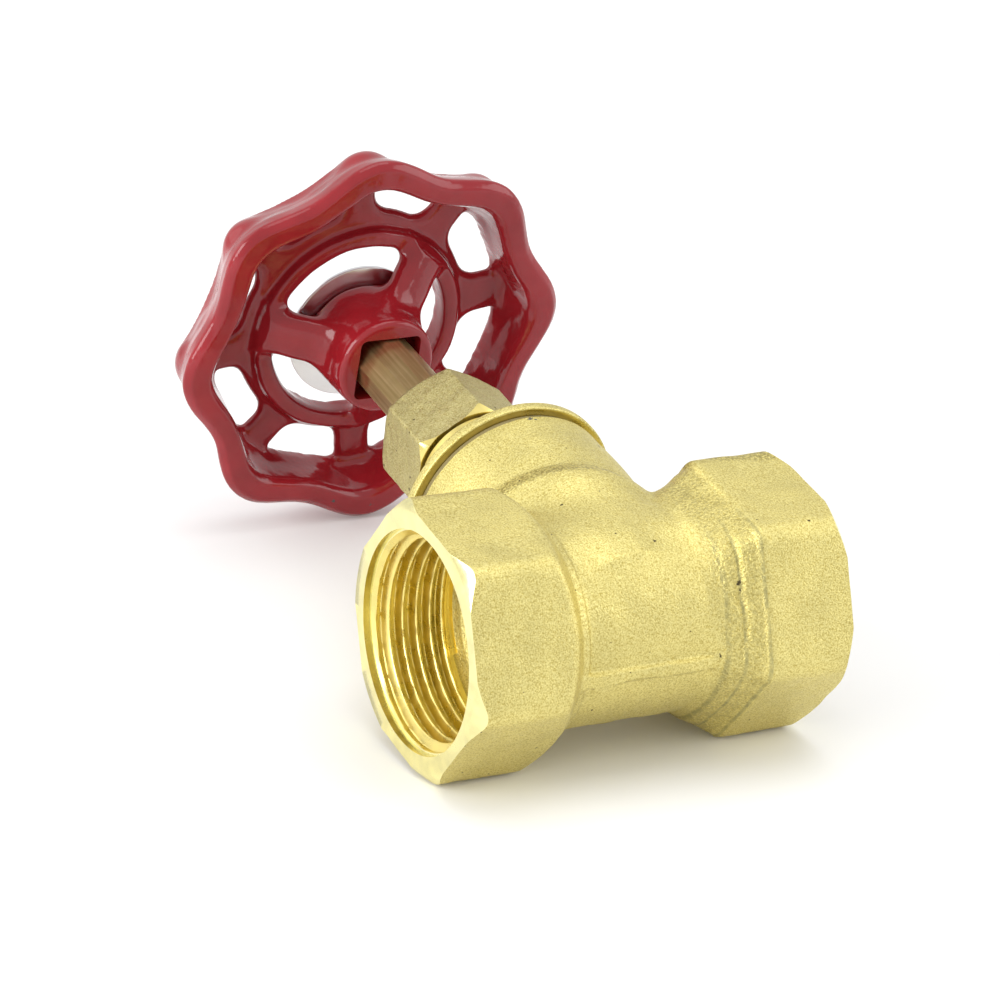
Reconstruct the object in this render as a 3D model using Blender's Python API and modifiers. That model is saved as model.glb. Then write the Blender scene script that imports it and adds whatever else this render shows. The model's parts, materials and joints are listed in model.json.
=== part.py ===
"""A small brass gate valve with a lobed cast iron handwheel, lying on its side.

The valve frame has its origin where the flow axis crosses the stem axis: X runs along the flow,
Z along the stem towards the handwheel and Y completes it. Every piece is modelled in that frame
and parented to the empty "valve_frame", which lays the valve down as it rests on a table: on two
corners of its hexagons and one lobe of its wheel. The world then has +Z up, +Y along the stem and
its origin under the middle of the object's box.
"""

import math

import bmesh
import bpy
from mathutils import Matrix, Vector

MM = 0.001
GAP = 0.3  # clearance between pieces that touch on the real object

# Driving dimensions, in millimetres, in the valve frame
HALF_LENGTH = 32.0  # end face to centre
HEX_AF = 37.8  # across the flats of both ends
HEX_WIDTH = 14.8  # along the flow
HEX_R = HEX_AF / math.sqrt(3)  # centre to corner
HEX_FACE_R = 19.6  # circle where the end chamfer meets the face
HEX_CHAMFER = 1.8  # along the flow
TUBE_R = 16.0
COLLAR_RING_R = 17.0  # foot of the cone from the tube up to each hexagon's inner corners
COLLAR_RING_X = 13.4
NECK_R = 17.0
NECK_TOP = 30.0

THREAD_MINOR_R = 15.15  # G 1 female thread
THREAD_DEPTH = 14.0
COUNTERBORE_R = 16.9
COUNTERBORE_DEPTH = 1.2
PORT_R = 9.6
FUNNEL_R = 13.0
FUNNEL_LENGTH = 3.5

WEDGE_R = 11.2
WEDGE_HALF = 6.4  # half thickness at the wedge's middle
WEDGE_TAPER = 0.08  # growth of the half thickness per millimetre of height
WEDGE_BOSS_R = 6.0
WEDGE_BOSS_TOP = 17.0  # above the wedge's middle
WEDGE_BORE_R = 4.5
TRAVEL = 21.0  # seven turns of a 3 mm thread
CHAMBER_R = 11.6
CHAMBER_HALF = WEDGE_HALF + GAP
CHAMBER_TOP = 12.0  # inside the neck's bore

NECK_BORE_R = 13.4
NECK_BORE_BOTTOM = 9.0
SPIGOT_BOTTOM = 25.5
BONNET_THREAD_R = 14.9
BONNET_BOTTOM = NECK_TOP + 1.3  # underside of the lip
LIP_R = 17.9
LIP_TOP = 33.0
BONNET_HEX_R = 13.8
BONNET_HEX_TOP = 36.8
SHOULDER_R = 9.9
SHOULDER_TOP = 43.0
BOX_NECK_R = 8.3  # outside of the stuffing box
BOX_NECK_TOP = 52.5
BOX_R = 6.9  # inside of the stuffing box
BOX_FLOOR = 41.4
CEILING = 38.3
# The bonnet's inside closes in over the open wedge, as (radius, height) points
BELL_BOTTOM = (12.8, 29.0)
BELL_MIDDLE = (9.3, 32.0)
BELL_TOP = (6.6, 34.4)
GASKET_R = 16.6
GLAND_FLANGE = 1.5

STEM_BOTTOM = 10.1
STEM_THREAD_R = 4.2
COLLAR_R = BOX_R - GAP
COLLAR_HEIGHT = 2.0
JOURNAL_R = 5.0
SHAFT_R = 5.3
SHAFT_BOTTOM = 57.5
SQUARE_BOTTOM = 79.0
SQUARE_TOP = 87.5
SQUARE_HALF = 3.75
TAIL_R = 3.0
TAIL_TOP = 97.0

RING_IN = JOURNAL_R + GAP
RING_OUT = BOX_R - GAP
WASHER_THICK = 0.8
PACKING_THICK = 1.8
PACKING_COUNT = 3

NUT_BOTTOM = 43.5
NUT_TOP = 57.0
NUT_HEX_R = 11.36
NUT_TURN = 26.6  # degrees, of one corner from the flow axis
NUT_BORE_R = BOX_NECK_R + GAP
NUT_CHAMFER = 1.6
NUT_FACE_R = 9.6

LOBES = 8
LOBE_TURN = -6.5  # degrees, of one lobe from the flow axis
LOBE_DEPTH = 3.2  # lobe tip to valley
LOBE_FADE = 0.2  # share of that depth lost between the ridge and the rim's top
RIDGE_Z = 82.2
RIM_TOP = 92.0
KNUCKLE_Z = 89.4  # middle of the knuckle that stands out of the rim at each lobe
KNUCKLE_SPAN = 3.2
KNUCKLE_OUT = 1.1
KNUCKLE_INNER_R = 30.0  # the rim's inner wall, below this radius, has no knuckles
WINDOW_IN = 21.0
WINDOW_OUT = 27.4
WINDOW_TRIM = 0.22  # share of a window's depth cut off each corner
WEB_WIDTH = 7.0
WEB_BOTTOM = 89.2
WEB_TOP = 91.7
WEB_OUT = 29.2
INNER_RING = (15.7, 18.8)
INNER_RING_BOTTOM = 87.6
INNER_RING_TOP = 92.2
SPOKES = 3
SPOKE_TURN = -51.5  # degrees, of one spoke from the flow axis
SPOKE_WIDTH = 7.5
SPOKE_THICK = 4.4
SPOKE_IN = 5.5
SPOKE_OUT = 17.0
SPOKE_LOW = 82.0  # height of its middle line at the hub
SPOKE_RISE = 6.0
HUB_R = 8.5
HUB_BOTTOM = 75.5
HUB_TOP = 87.7
HUB_BAND = 5.0  # height of the wider part at its top
HUB_RECESS_HALF = 5.7
HUB_RECESS_DEPTH = 3.8
DISC_R = 12.0
DISC_THICK = 0.8
WHEEL_WASHER_R = 5.6
WHEEL_WASHER_THICK = 1.3
WHEEL_NUT_HEX_R = 5.77
WHEEL_NUT_HEIGHT = 5.0

# The table touches the hexagons' corner 60 degrees round from the one under the tube's seam,
# and the lobe nearest to it.
CORNER = Vector((HEX_R * math.sin(math.radians(60)), -HEX_R * math.cos(math.radians(60))))
TOUCHING_LOBE = math.radians(LOBE_TURN + 90)
RIDGE_R = 34.4
REST_TILT = math.atan2(RIDGE_R * math.sin(TOUCHING_LOBE) - CORNER.x, RIDGE_Z - CORNER.y)

SMOOTH_ANGLE = math.radians(35)
STEPS = 48  # round pieces
FINE_STEPS = 96  # the wheel's rim


def clear_scene():
    for obj in list(bpy.data.objects):
        bpy.data.objects.remove(obj, do_unlink=True)


def new_collection(name):
    collection = bpy.data.collections.new(name)
    bpy.context.scene.collection.children.link(collection)
    return collection


def material(name, color, roughness, metallic):
    mat = bpy.data.materials.new(name)
    mat.use_nodes = True
    shader = mat.node_tree.nodes["Principled BSDF"]
    shader.inputs["Base Color"].default_value = (*color, 1)
    shader.inputs["Roughness"].default_value = roughness
    shader.inputs["Metallic"].default_value = metallic
    return mat


def add(name, mesh, collection, mat=None):
    obj = bpy.data.objects.new(name, mesh)
    collection.objects.link(obj)
    if mat:
        mesh.materials.append(mat)
    return obj


def from_bmesh(name, bm, collection, mat=None):
    bmesh.ops.recalc_face_normals(bm, faces=bm.faces)
    mesh = bpy.data.meshes.new(name)
    bm.to_mesh(mesh)
    bm.free()
    return add(name, mesh, collection, mat)


def turned(name, profile, collection, mat=None, steps=STEPS):
    """A solid turned about Z. The profile's (radius, height) points run down the outer side."""
    bm = bmesh.new()
    points = [bm.verts.new((r * MM, 0, z * MM)) for r, z in profile]
    closed = min(r for r, z in profile) > 0
    for a, b in zip(points, points[1:] + points[:1] if closed else points[1:]):
        bm.edges.new((a, b))
    mesh = bpy.data.meshes.new(name)
    bm.to_mesh(mesh)
    bm.free()
    obj = add(name, mesh, collection, mat)
    screw = obj.modifiers.new("Screw", "SCREW")
    screw.steps = screw.render_steps = steps
    screw.use_merge_vertices = True
    screw.merge_threshold = 0.00001
    screw.use_smooth_shade = True
    return obj


def prism(name, corners, low, high, collection, mat=None, turn=0.0):
    """A regular prism along Z. corners is (count, radius); turn is one corner's angle in degrees."""
    count, radius = corners
    bm = bmesh.new()
    bmesh.ops.create_cone(
        bm, cap_ends=True, segments=count, radius1=radius * MM, radius2=radius * MM,
        depth=(high - low) * MM,
    )
    bmesh.ops.translate(bm, verts=bm.verts, vec=(0, 0, (low + high) / 2 * MM))
    obj = from_bmesh(name, bm, collection, mat)
    # create_cone puts its first corner on +Y
    obj.data.transform(Matrix.Rotation(math.radians(turn - 90), 4, "Z"))
    return obj


def block(name, low, high, collection, mat=None):
    bm = bmesh.new()
    bmesh.ops.create_cube(bm, size=1)
    size = [(b - a) * MM for a, b in zip(low, high)]
    middle = [(a + b) / 2 * MM for a, b in zip(low, high)]
    bmesh.ops.scale(bm, verts=bm.verts, vec=size)
    bmesh.ops.translate(bm, verts=bm.verts, vec=middle)
    return from_bmesh(name, bm, collection, mat)


def along_flow(obj):
    """Turns a piece modelled along Z so that it lies along X, its own +X towards -Z."""
    obj.rotation_euler.y = math.radians(90)
    return obj


def boolean(obj, other, operation, solver="EXACT"):
    modifier = obj.modifiers.new(f"{operation.title()} {other.name}", "BOOLEAN")
    modifier.operation = operation
    modifier.object = other
    modifier.solver = solver


def mesh_copy(obj, name, collection):
    """The evaluated shape of obj as a plain mesh object. obj itself is removed."""
    bpy.context.view_layer.update()
    graph = bpy.context.evaluated_depsgraph_get()
    mesh = bpy.data.meshes.new_from_object(obj.evaluated_get(graph))
    mesh.name = name
    bpy.data.objects.remove(obj, do_unlink=True)
    return add(name, mesh, collection)


def ring_profile(inner, outer, low, high):
    return [(inner, high), (outer, high), (outer, low), (inner, low)]


def mirrored(half):
    """A turned profile whose lower half repeats the upper half's (radius, height) points."""
    return half + [(r, -z) for r, z in reversed(half)]


def plate(name, outline, half_at, collection, mat=None):
    """An outline in the YZ plane, thickened along X to half_at(z) on both sides."""
    bm = bmesh.new()
    face = bm.faces.new([bm.verts.new((-MM, y * MM, z * MM)) for y, z in outline])
    made = bmesh.ops.extrude_face_region(bm, geom=[face])
    side = [v for v in made["geom"] if isinstance(v, bmesh.types.BMVert)]
    bmesh.ops.translate(bm, verts=side, vec=(2 * MM, 0, 0))
    for vert in bm.verts:
        vert.co.x *= half_at(vert.co.z / MM)
    return from_bmesh(name, bm, collection, mat)


def arc(radius, start, end, count):
    """Points (y, z) on a circle round the flow axis, from start to end degrees."""
    angles = [math.radians(start + (end - start) * i / (count - 1)) for i in range(count)]
    return [(radius * math.cos(a), radius * math.sin(a)) for a in angles]


def make_body(parts, helpers, mat):
    spool_half = [
        (0, HALF_LENGTH), (HEX_FACE_R, HALF_LENGTH), (HEX_R + 0.1, HALF_LENGTH - HEX_CHAMFER),
        (HEX_R + 0.1, HALF_LENGTH - HEX_WIDTH), (COLLAR_RING_R, COLLAR_RING_X),
        (TUBE_R, COLLAR_RING_X - 2.0),
    ]
    spool = along_flow(turned("body_spool", mirrored(spool_half), helpers))
    neck = turned("body_neck", [
        (0, NECK_TOP), (NECK_R, NECK_TOP), (NECK_R, 0), (0, 0),
    ], helpers)

    funnel_top = HALF_LENGTH - THREAD_DEPTH
    bore_half = [
        (0, HALF_LENGTH + 1), (COUNTERBORE_R, HALF_LENGTH + 1),
        (COUNTERBORE_R, HALF_LENGTH - COUNTERBORE_DEPTH),
        (THREAD_MINOR_R, HALF_LENGTH - COUNTERBORE_DEPTH), (THREAD_MINOR_R, funnel_top),
        (FUNNEL_R, funnel_top), (PORT_R, funnel_top - FUNNEL_LENGTH),
    ]
    bore = along_flow(turned("flow_bore", mirrored(bore_half), helpers))
    neck_bore = turned("neck_bore", [
        (0, NECK_TOP + 1), (BONNET_THREAD_R, NECK_TOP + 1), (BONNET_THREAD_R, SPIGOT_BOTTOM - GAP),
        (NECK_BORE_R, SPIGOT_BOTTOM - GAP), (NECK_BORE_R, NECK_BORE_BOTTOM), (0, NECK_BORE_BOTTOM),
    ], helpers)
    outline = arc(CHAMBER_R, 180, 360, 25) + [(CHAMBER_R, CHAMBER_TOP), (-CHAMBER_R, CHAMBER_TOP)]
    chamber = plate(
        "gate_chamber", outline, lambda z: CHAMBER_HALF + WEDGE_TAPER * z, helpers
    )

    # laid along the flow, its first corner points straight down the stem axis
    body = prism("valve_body", (6, HEX_R), -HALF_LENGTH - 1, HALF_LENGTH + 1, parts, mat)
    along_flow(body)
    boolean(body, spool, "INTERSECT")
    boolean(body, neck, "UNION")
    for cutter in (bore, neck_bore, chamber):
        boolean(body, cutter, "DIFFERENCE")
    return body


def make_bonnet(parts, helpers, mat):
    bonnet = turned("bonnet", [
        (0, BOX_NECK_TOP), (BOX_NECK_R - 0.4, BOX_NECK_TOP), (BOX_NECK_R, BOX_NECK_TOP - 0.4),
        (BOX_NECK_R, SHOULDER_TOP), (SHOULDER_R - 0.5, SHOULDER_TOP), (SHOULDER_R, SHOULDER_TOP - 0.5),
        (SHOULDER_R, LIP_TOP), (LIP_R - 0.2, LIP_TOP), (LIP_R, LIP_TOP - 0.2),
        (LIP_R, BONNET_BOTTOM), (BONNET_THREAD_R - GAP, BONNET_BOTTOM),
        (BONNET_THREAD_R - GAP, SPIGOT_BOTTOM), (0, SPIGOT_BOTTOM),
    ], parts, mat)
    wrench_hex = prism("wrench_hex", (6, BONNET_HEX_R), LIP_TOP - 0.5, BONNET_HEX_TOP, helpers)
    inside = turned("bonnet_inside", [
        (0, BOX_NECK_TOP + 1), (BOX_R, BOX_NECK_TOP + 1), (BOX_R, BOX_FLOOR),
        (STEM_THREAD_R + 0.4, BOX_FLOOR), (STEM_THREAD_R + 0.4, CEILING),
        (BELL_TOP[0], CEILING), BELL_TOP, BELL_MIDDLE, BELL_BOTTOM,
        (BELL_BOTTOM[0], SPIGOT_BOTTOM - 1), (0, SPIGOT_BOTTOM - 1),
    ], helpers)
    boolean(bonnet, wrench_hex, "UNION")
    boolean(bonnet, inside, "DIFFERENCE")
    return bonnet


def make_gasket(parts, mat):
    profile = ring_profile(BONNET_THREAD_R, GASKET_R, NECK_TOP + GAP, BONNET_BOTTOM - GAP)
    return turned("bonnet_gasket", profile, parts, mat)


def make_wedge(parts, helpers, mat):
    """The wedge where it stands with the valve open, TRAVEL above the passage."""
    wedge = plate(
        "wedge_gate", arc(WEDGE_R, 0, 360, 41)[:-1],
        lambda z: WEDGE_HALF + WEDGE_TAPER * z, parts, mat,
    )
    boss = turned("wedge_boss", [
        (0, WEDGE_BOSS_TOP), (WEDGE_BOSS_R, WEDGE_BOSS_TOP), (WEDGE_BOSS_R, 0), (0, 0),
    ], helpers, steps=32)
    bore = turned("wedge_bore", [
        (0, WEDGE_BOSS_TOP + 1), (WEDGE_BORE_R, WEDGE_BOSS_TOP + 1),
        (WEDGE_BORE_R, -WEDGE_R - 1), (0, -WEDGE_R - 1),
    ], helpers, steps=32)
    boolean(wedge, boss, "UNION")
    boolean(wedge, bore, "DIFFERENCE")
    for obj in (wedge, boss, bore):
        obj.location.z = TRAVEL * MM
    return wedge


def make_stem(parts, helpers, mat):
    collar_low = BOX_FLOOR + GAP
    stem = turned("stem", [
        (0, TAIL_TOP), (TAIL_R - 0.5, TAIL_TOP), (TAIL_R, TAIL_TOP - 0.5), (TAIL_R, SQUARE_BOTTOM),
        (JOURNAL_R, SQUARE_BOTTOM), (JOURNAL_R, collar_low + COLLAR_HEIGHT),
        (COLLAR_R, collar_low + COLLAR_HEIGHT), (COLLAR_R, collar_low),
        (STEM_THREAD_R, collar_low), (STEM_THREAD_R, STEM_BOTTOM + 0.8),
        (STEM_THREAD_R - 0.8, STEM_BOTTOM), (0, STEM_BOTTOM),
    ], parts, mat, steps=40)
    shaft = prism("stem_flats", (16, SHAFT_R + 0.1), SHAFT_BOTTOM, SQUARE_BOTTOM, helpers)
    square = prism(
        "stem_square", (4, SQUARE_HALF * math.sqrt(2)), SQUARE_BOTTOM - 1, SQUARE_TOP, helpers,
        turn=45,
    )
    boolean(stem, shaft, "UNION")
    boolean(stem, square, "UNION")
    return stem


def make_packing(parts, brass, packing):
    """What fills the stuffing box, from its floor up: washer, soft rings and gland follower."""
    low = BOX_FLOOR + GAP + COLLAR_HEIGHT + GAP
    turned(
        "packing_washer", ring_profile(RING_IN, RING_OUT, low, low + WASHER_THICK), parts, brass,
        steps=32,
    )
    low += WASHER_THICK + GAP
    for number in range(1, PACKING_COUNT + 1):
        profile = ring_profile(RING_IN, RING_OUT, low, low + PACKING_THICK)
        turned(f"packing_ring_{number}", profile, parts, packing, steps=32)
        low += PACKING_THICK + GAP
    flange_low = BOX_NECK_TOP + GAP
    turned("gland_follower", [
        (SHAFT_R + GAP, flange_low + GLAND_FLANGE), (BOX_NECK_R - GAP, flange_low + GLAND_FLANGE),
        (BOX_NECK_R - GAP, flange_low), (RING_OUT, flange_low), (RING_OUT, low),
        (SHAFT_R + GAP, low),
    ], parts, brass, steps=32)


def make_packing_nut(parts, helpers, mat):
    nut = prism("packing_nut", (6, NUT_HEX_R), NUT_BOTTOM - 1, NUT_TOP + 1, parts, mat, NUT_TURN)
    blank = turned("nut_blank", [
        (0, NUT_TOP), (NUT_FACE_R, NUT_TOP), (NUT_HEX_R + 0.1, NUT_TOP - NUT_CHAMFER * 0.7),
        (NUT_HEX_R + 0.1, NUT_BOTTOM + NUT_CHAMFER), (NUT_FACE_R, NUT_BOTTOM), (0, NUT_BOTTOM),
    ], helpers)
    bore_top = BOX_NECK_TOP + GAP + GLAND_FLANGE + GAP
    bore = turned("nut_bore", [
        (0, NUT_TOP + 1), (SHAFT_R + 0.4, NUT_TOP + 1), (SHAFT_R + 0.4, bore_top),
        (NUT_BORE_R, bore_top), (NUT_BORE_R, NUT_BOTTOM - 1), (0, NUT_BOTTOM - 1),
    ], helpers)
    boolean(nut, blank, "INTERSECT")
    boolean(nut, bore, "DIFFERENCE")
    return nut


def lobe_share(angle):
    """1 on a lobe of the wheel and 0 in a valley, for an angle in radians."""
    return (1 + math.cos(LOBES * (angle - math.radians(LOBE_TURN)))) / 2


def make_rim(parts, mat):
    """The wheel's rim: a turned flared skirt whose radius then follows the lobes."""
    skirt = turned("rim_skirt", [
        (28.6, RIM_TOP), (30.4, RIM_TOP - 0.9), (31.4, 89.8), (32.4, 88.2), (33.6, 85.8),
        (RIDGE_R, RIDGE_Z + 1.0), (RIDGE_R - 0.3, RIDGE_Z), (RIDGE_R - 1.4, RIDGE_Z - 0.6),
        (30.0, RIDGE_Z - 0.4), (29.1, RIDGE_Z + 1.0), (28.6, 87.5), (27.6, RIM_TOP - 1.2),
    ], parts, steps=FINE_STEPS)
    rim = mesh_copy(skirt, "handwheel", parts)
    rim.data.materials.append(mat)
    for vert in rim.data.vertices:
        radius = math.hypot(vert.co.x, vert.co.y)
        angle = math.atan2(vert.co.y, vert.co.x)
        share = lobe_share(angle)
        height = (vert.co.z / MM - RIDGE_Z) / (RIM_TOP - RIDGE_Z)
        wanted = radius - LOBE_DEPTH * MM * (1 - LOBE_FADE * max(0.0, height)) * (1 - share)
        if radius > KNUCKLE_INNER_R * MM:
            swell = max(0.0, 1 - abs(vert.co.z / MM - KNUCKLE_Z) / KNUCKLE_SPAN)
            wanted += KNUCKLE_OUT * MM * swell * share ** 4
        vert.co.x *= wanted / radius
        vert.co.y *= wanted / radius
    return rim


def sector(bm, start, end, inner, outer, low, high):
    """A block between two angles in degrees and two radii, its corners cut off."""
    trim = (outer - inner) * WINDOW_TRIM
    middle = (start + end) / 2
    corners = []
    for radius, sign in ((inner, 1), (outer, -1)):
        half = (end - start) / 2
        cut = math.degrees(trim / radius)
        edge = [(radius + sign * trim, -half), (radius, cut - half), (radius, 0.0),
                (radius, half - cut), (radius + sign * trim, half)]
        corners += edge if sign > 0 else reversed(edge)
    bottom = []
    for radius, turn in corners:
        angle = math.radians(middle + turn)
        at = (radius * MM * math.cos(angle), radius * MM * math.sin(angle), low * MM)
        bottom.append(bm.verts.new(at))
    made = bmesh.ops.extrude_face_region(bm, geom=[bm.faces.new(bottom)])
    top = [v for v in made["geom"] if isinstance(v, bmesh.types.BMVert)]
    bmesh.ops.translate(bm, verts=top, vec=(0, 0, (high - low) * MM))


def make_handwheel(parts, helpers, mat):
    wheel = make_rim(parts, mat)
    web = turned("wheel_web", ring_profile(INNER_RING[1] - 1, WEB_OUT, WEB_BOTTOM, WEB_TOP), helpers)
    windows = bmesh.new()
    for i in range(LOBES):
        middle = LOBE_TURN + (i + 0.5) * 360 / LOBES
        half = 180 / LOBES - math.degrees(WEB_WIDTH / (WINDOW_IN + WINDOW_OUT))
        sector(windows, middle - half, middle + half, WINDOW_IN, WINDOW_OUT,
               WEB_BOTTOM - 2, WEB_TOP + 2)
    boolean(web, from_bmesh("wheel_windows", windows, helpers), "DIFFERENCE", "MANIFOLD")

    ring = turned("wheel_ring", ring_profile(*INNER_RING, INNER_RING_BOTTOM, INNER_RING_TOP), helpers)
    hub = turned("wheel_hub", [
        (0, HUB_TOP), (HUB_R + 0.8, HUB_TOP), (HUB_R + 0.6, HUB_TOP - HUB_BAND), (HUB_R, HUB_BOTTOM + 0.6),
        (HUB_R - 0.6, HUB_BOTTOM), (0, HUB_BOTTOM),
    ], helpers)
    for piece in (web, ring, hub):
        boolean(wheel, piece, "UNION", "MANIFOLD")

    for i in range(SPOKES):
        spoke = block(f"wheel_spoke_{i + 1}", (SPOKE_IN, -SPOKE_WIDTH / 2, -SPOKE_THICK / 2),
                      (SPOKE_OUT, SPOKE_WIDTH / 2, SPOKE_THICK / 2), helpers)
        for vert in spoke.data.vertices:
            share = (vert.co.x / MM - SPOKE_IN) / (SPOKE_OUT - SPOKE_IN)
            vert.co.z += (SPOKE_LOW + SPOKE_RISE * share) * MM
        spoke.data.transform(Matrix.Rotation(math.radians(SPOKE_TURN + 120 * i), 4, "Z"))
        boolean(wheel, spoke, "UNION", "MANIFOLD")

    recess_top = HUB_BOTTOM + HUB_RECESS_DEPTH
    recess = prism("hub_recess", (4, HUB_RECESS_HALF * math.sqrt(2)), HUB_BOTTOM - 1, recess_top,
                   helpers, turn=45)
    hole = prism("hub_hole", (4, (SQUARE_HALF + GAP) * math.sqrt(2)), recess_top - 1, HUB_TOP + 1,
                 helpers, turn=45)
    boolean(wheel, recess, "DIFFERENCE", "MANIFOLD")
    boolean(wheel, hole, "DIFFERENCE", "MANIFOLD")
    return wheel


def make_wheel_fasteners(parts, helpers, plate_mat, steel):
    """The plain disc, spring washer and nut that hold the wheel on the stem's threaded end."""
    inner = TAIL_R + GAP
    low = HUB_TOP + GAP
    turned("nameplate_disc", ring_profile(inner, DISC_R, low, low + DISC_THICK), parts, plate_mat)
    low += DISC_THICK + GAP
    profile = ring_profile(inner, WHEEL_WASHER_R, low, low + WHEEL_WASHER_THICK)
    turned("wheel_washer", profile, parts, steel, steps=32)
    low += WHEEL_WASHER_THICK + GAP
    nut = prism("wheel_nut", (6, WHEEL_NUT_HEX_R), low, low + WHEEL_NUT_HEIGHT, parts, steel)
    bore = turned("wheel_nut_bore", [
        (0, low + WHEEL_NUT_HEIGHT + 1), (inner, low + WHEEL_NUT_HEIGHT + 1), (inner, low - 1),
        (0, low - 1),
    ], helpers, steps=32)
    boolean(nut, bore, "DIFFERENCE")


def lay_down(objects):
    """Parents everything to one empty, tips it onto the table and centres it over the origin."""
    frame = bpy.data.objects.new("valve_frame", None)
    bpy.context.scene.collection.objects.link(frame)
    frame.empty_display_size = 20 * MM
    frame.rotation_euler.x = REST_TILT - math.radians(90)
    for obj in objects:
        obj.parent = frame
    bpy.context.view_layer.update()
    graph = bpy.context.evaluated_depsgraph_get()
    points = []
    for obj in objects:
        if not obj.hide_render:
            shape = obj.evaluated_get(graph)
            points += [shape.matrix_world @ v.co for v in shape.data.vertices]
    for axis in (0, 1):
        values = [p[axis] for p in points]
        frame.location[axis] = -(min(values) + max(values)) / 2
    frame.location.z = -min(p.z for p in points)


def main():
    clear_scene()
    parts = new_collection("gate_valve")
    helpers = new_collection("cutters_and_joined_shapes")
    cast_brass = material("cast_brass", (0.72, 0.57, 0.22), 0.5, 1.0)
    turned_brass = material("turned_brass", (0.85, 0.65, 0.2), 0.25, 1.0)
    stem_brass = material("stem_brass", (0.5, 0.34, 0.15), 0.35, 1.0)
    fibre = material("gasket_fibre", (0.25, 0.24, 0.22), 0.8, 0.0)
    packing = material("packing", (0.85, 0.85, 0.82), 0.7, 0.0)
    enamel = material("red_enamel", (0.45, 0.01, 0.02), 0.15, 0.0)
    aluminium = material("disc_aluminium", (0.8, 0.8, 0.8), 0.3, 1.0)
    steel = material("zinc_steel", (0.6, 0.6, 0.62), 0.35, 1.0)

    make_body(parts, helpers, cast_brass)
    make_bonnet(parts, helpers, cast_brass)
    make_gasket(parts, fibre)
    make_wedge(parts, helpers, cast_brass)
    make_stem(parts, helpers, stem_brass)
    make_packing(parts, turned_brass, packing)
    make_packing_nut(parts, helpers, cast_brass)
    make_handwheel(parts, helpers, enamel)
    make_wheel_fasteners(parts, helpers, aluminium, steel)

    for helper in helpers.objects:
        helper.hide_render = True
        helper.display_type = "WIRE"
    for obj in parts.objects:
        obj.data.shade_smooth()
        obj.data.set_sharp_from_angle(angle=SMOOTH_ANGLE)
    lay_down(list(parts.objects) + list(helpers.objects))


main()
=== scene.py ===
"""Looks of a small brass gate valve with a red lobed handwheel.

Every piece is modelled in millimetres in the valve frame, which has its origin where the flow
axis crosses the stem axis: X runs along the flow, Z along the stem towards the handwheel and Y
completes it. place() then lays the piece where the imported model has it. Castings are distance
fields turned into meshes, so their fillets and rounded corners are real, and machined features
are cut into them afterwards.
"""

import json
import math

import bmesh
import bpy
import numpy as np
import openvdb
from mathutils import Matrix, Vector


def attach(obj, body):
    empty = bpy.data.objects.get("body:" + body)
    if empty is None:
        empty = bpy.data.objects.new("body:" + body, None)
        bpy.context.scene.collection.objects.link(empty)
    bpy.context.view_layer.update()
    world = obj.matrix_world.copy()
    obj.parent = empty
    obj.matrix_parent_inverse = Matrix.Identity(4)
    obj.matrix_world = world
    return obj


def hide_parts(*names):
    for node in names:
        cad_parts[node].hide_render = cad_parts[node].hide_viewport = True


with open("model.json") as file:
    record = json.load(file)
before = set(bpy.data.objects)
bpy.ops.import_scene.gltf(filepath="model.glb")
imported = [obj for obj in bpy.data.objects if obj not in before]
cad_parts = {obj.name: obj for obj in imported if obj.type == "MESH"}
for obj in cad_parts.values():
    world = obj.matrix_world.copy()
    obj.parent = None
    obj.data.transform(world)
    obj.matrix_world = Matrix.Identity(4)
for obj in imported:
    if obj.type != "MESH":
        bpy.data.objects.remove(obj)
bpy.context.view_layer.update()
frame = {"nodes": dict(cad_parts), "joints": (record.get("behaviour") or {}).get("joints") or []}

MM = 0.001
COS_30 = math.cos(math.radians(30))
stem_joint = next(j for j in frame["joints"] if j["name"] == "stem_turn")
STEM_AXIS = Vector(stem_joint["axis"]).normalized()
FLOW_AXIS = Vector((1, 0, 0))
TO_ROW = Matrix.Translation(stem_joint["pos_m"]) @ Matrix(
    (FLOW_AXIS, STEM_AXIS.cross(FLOW_AXIS), STEM_AXIS)
).transposed().to_4x4()


def reach(node):
    """Lowest and highest corners of a CAD node in the valve frame, in mm."""
    back = TO_ROW.inverted()
    points = np.array([back @ v.co for v in frame["nodes"][node].data.vertices]) / MM
    return points.min(axis=0), points.max(axis=0)


body_low, body_high = reach("valve_body")
bonnet_low, bonnet_high = reach("bonnet")
stem_low, stem_high = reach("stem")
nut_low, nut_high = reach("packing_nut")
wheel_low, wheel_high = reach("handwheel")
wedge_low, wedge_high = reach("wedge_gate")
disc_low, disc_high = reach("nameplate_disc")
washer_low, washer_high = reach("wheel_washer")
wheel_nut_low, wheel_nut_high = reach("wheel_nut")

# Sizes of the body
HALF_LENGTH = float(body_high[0])
HEX_R = float(-body_low[2])
HEX_FLAT = HEX_R * COS_30
NECK_TOP = float(body_high[2])
NECK_R = 17.0
TUBE_R = 16.0
HEX_INNER_X = 17.2  # where the hexagons' corners end
CONE_X, CONE_R = 13.4, 17.0  # a point of the cone behind those corners
CONE_SLOPE = (HEX_INNER_X - CONE_X) / (HEX_R - CONE_R)
FACE_R = 19.6
FACE_CHAMFER = 1.8
COUNTERBORE_R, COUNTERBORE_DEPTH = 16.9, 1.2
THREAD_PITCH = 2.309
THREAD_MINOR_R, THREAD_MAJOR_R = 15.15, 16.62
THREAD_DEPTH = 14.0
FUNNEL_R, PORT_R, FUNNEL_LENGTH = 13.0, 9.6, 3.5
CLEAR = 30  # a radius beyond anything that a cutter has to remove


# ---- mesh helpers

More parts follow.
